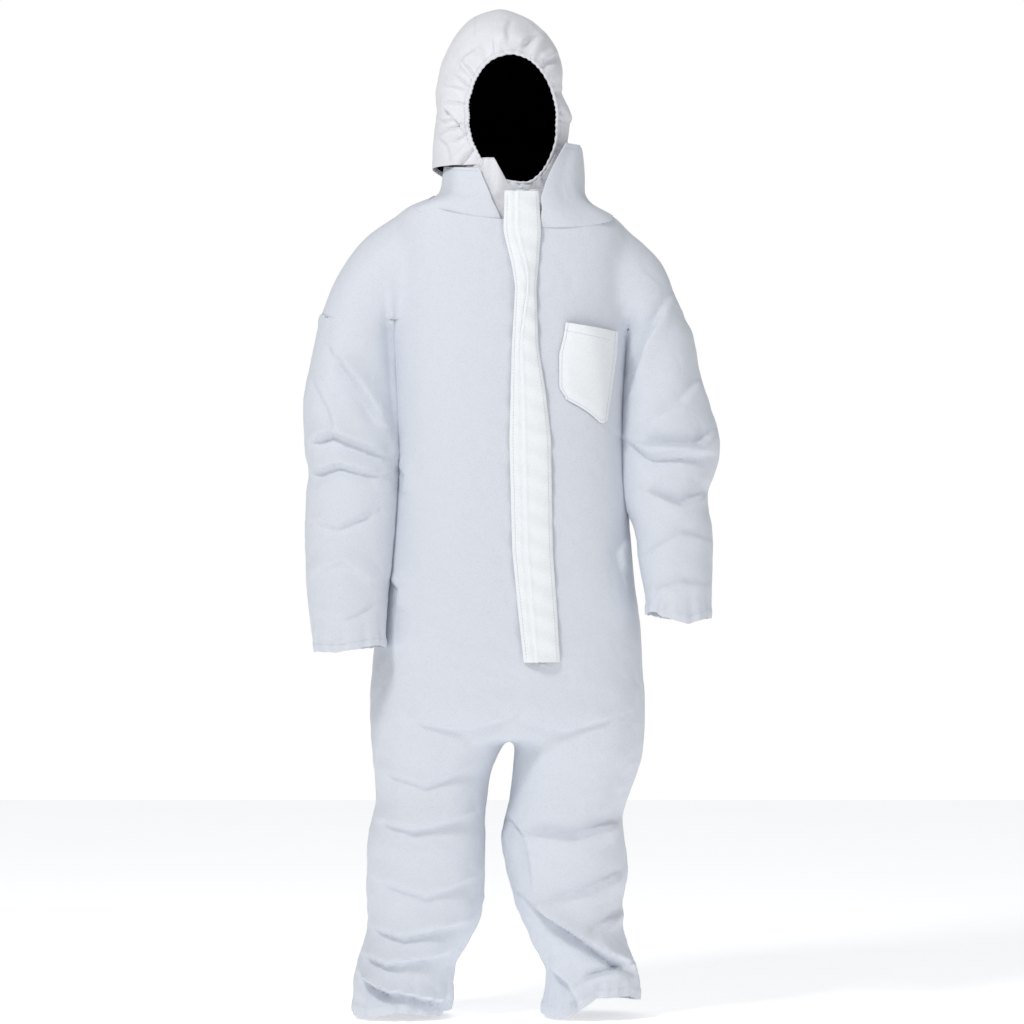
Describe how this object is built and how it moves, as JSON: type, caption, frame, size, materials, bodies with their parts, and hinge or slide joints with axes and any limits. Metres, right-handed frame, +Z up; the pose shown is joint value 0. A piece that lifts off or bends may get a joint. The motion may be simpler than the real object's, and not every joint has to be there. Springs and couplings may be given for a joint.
{
  "type": "chemical protective suit",
  "caption": "Hooded one-piece protective coverall with front zip under a storm flap, stand-up collar, chest pocket and elasticated cuffs and ankles.",
  "frame": {"origin": "middle of the wearer's neck, level with the shoulder seams, where the suit hangs on its wearer", "axes": "+Z up from the ankle hems to the top of the hood, -Y out of the chest, +X towards the wearer's left arm"},
  "size_m": [0.726, 0.323, 1.742],
  "materials": {
    "body_sheet": "matt non-woven sheet, faintly cool white",
    "hood_sheet": "matt non-woven sheet, white",
    "flap_sheet": "matt non-woven sheet, white",
    "elastic": "white braided elastic",
    "zip_tape": "white woven polyester tape",
    "zip_plastic": "white nylon",
    "adhesive": "double-sided tape with its liner"
  },
  "bodies": {
    "trunk": {"front_panel_right": "body_sheet", "front_panel_left": "body_sheet", "back_panel_upper": "body_sheet", "back_panel_seat": "body_sheet", "waist_elastic": "elastic", "collar_right": "body_sheet", "collar_left": "body_sheet", "zip_tape_right": "zip_tape", "zip_tape_left": "zip_tape", "zip_coil_right": "zip_plastic", "zip_coil_left": "zip_plastic", "zip_top_stop_right": "zip_plastic", "zip_top_stop_left": "zip_plastic", "zip_bottom_stop": "zip_plastic", "chest_pocket": "flap_sheet", "hood_neck": "hood_sheet", "sleeve_head_right": "body_sheet", "sleeve_head_left": "body_sheet", "leg_top_right": "body_sheet", "leg_top_left": "body_sheet"},
    "hood": {"hood_panel_right": "hood_sheet", "hood_panel_middle": "hood_sheet", "hood_panel_left": "hood_sheet", "hood_face_hem": "hood_sheet", "hood_face_elastic": "elastic"},
    "flap": {"storm_flap": "flap_sheet", "flap_adhesive_strip": "adhesive"},
    "slider": {"zip_slider": "zip_plastic"},
    "pull_tab": {"zip_pull_tab": "zip_plastic"},
    "upper_arm_right": {"sleeve_upper_right": "body_sheet", "sleeve_elbow_right": "body_sheet"},
    "forearm_right": {"sleeve_lower_right": "body_sheet", "cuff_right": "body_sheet", "cuff_elastic_right": "elastic"},
    "upper_arm_left": {"sleeve_upper_left": "body_sheet", "sleeve_elbow_left": "body_sheet"},
    "forearm_left": {"sleeve_lower_left": "body_sheet", "cuff_left": "body_sheet", "cuff_elastic_left": "elastic"},
    "thigh_right": {"leg_upper_right": "body_sheet", "leg_knee_right": "body_sheet"},
    "shin_right": {"leg_lower_right": "body_sheet", "ankle_hem_right": "body_sheet", "ankle_elastic_right": "elastic"},
    "thigh_left": {"leg_upper_left": "body_sheet", "leg_knee_left": "body_sheet"},
    "shin_left": {"leg_lower_left": "body_sheet", "ankle_hem_left": "body_sheet", "ankle_elastic_left": "elastic"}
  },
  "joints": [
    {"name": "hood_tilt", "type": "hinge", "parent": "trunk", "child": "hood", "pos_m": [0, 0.12, 0.097], "axis": [-1, 0, 0], "range_deg": [0, 85], "deforming": ["hood_neck"]},
    {"name": "flap_open", "type": "hinge", "parent": "trunk", "child": "flap", "pos_m": [-0.01877, -0.11749, 0.017], "axis": [0.0467, -0.0463, -0.9978], "range_deg": [0, 120]},
    {"name": "zip_slide", "type": "slide", "parent": "trunk", "child": "slider", "axis": [0.0467, -0.0442, -0.9979], "range_m": [0, 0.795]},
    {"name": "pull_tab_swing", "type": "hinge", "parent": "slider", "child": "pull_tab", "pos_m": [0.01426, -0.1207, 0.0165], "axis": [-1, 0, 0], "range_deg": [0, 8]},
    {"name": "shoulder_lift_right", "type": "hinge", "parent": "trunk", "child": "upper_arm_right", "pos_m": [-0.213, 0, -0.12], "axis": [0, 1, 0], "range_deg": [0, 80], "deforming": ["sleeve_head_right"]},
    {"name": "elbow_bend_right", "type": "hinge", "parent": "upper_arm_right", "child": "forearm_right", "pos_m": [-0.288, -0.023, -0.44], "axis": [-1, 0, 0], "range_deg": [0, 95], "deforming": ["sleeve_elbow_right"]},
    {"name": "shoulder_lift_left", "type": "hinge", "parent": "trunk", "child": "upper_arm_left", "pos_m": [0.205, 0, -0.12], "axis": [0, -1, 0], "range_deg": [0, 80], "deforming": ["sleeve_head_left"]},
    {"name": "elbow_bend_left", "type": "hinge", "parent": "upper_arm_left", "child": "forearm_left", "pos_m": [0.282, -0.023, -0.425], "axis": [-1, 0, 0], "range_deg": [0, 95], "deforming": ["sleeve_elbow_left"]},
    {"name": "hip_swing_right", "type": "hinge", "parent": "trunk", "child": "thigh_right", "pos_m": [-0.12, 0, -0.56], "axis": [-1, 0, 0], "range_deg": [-10, 60], "deforming": ["leg_top_right"]},
    {"name": "knee_bend_right", "type": "hinge", "parent": "thigh_right", "child": "shin_right", "pos_m": [-0.146, 0.02, -1.071], "axis": [1, 0, 0], "range_deg": [0, 85], "deforming": ["leg_knee_right"]},
    {"name": "hip_swing_left", "type": "hinge", "parent": "trunk", "child": "thigh_left", "pos_m": [0.11, 0, -0.56], "axis": [-1, 0, 0], "range_deg": [-10, 60], "deforming": ["leg_top_left"]},
    {"name": "knee_bend_left", "type": "hinge", "parent": "thigh_left", "child": "shin_left", "pos_m": [0.091, 0.02, -1.071], "axis": [1, 0, 0], "range_deg": [0, 85], "deforming": ["leg_knee_left"]}
  ]
}
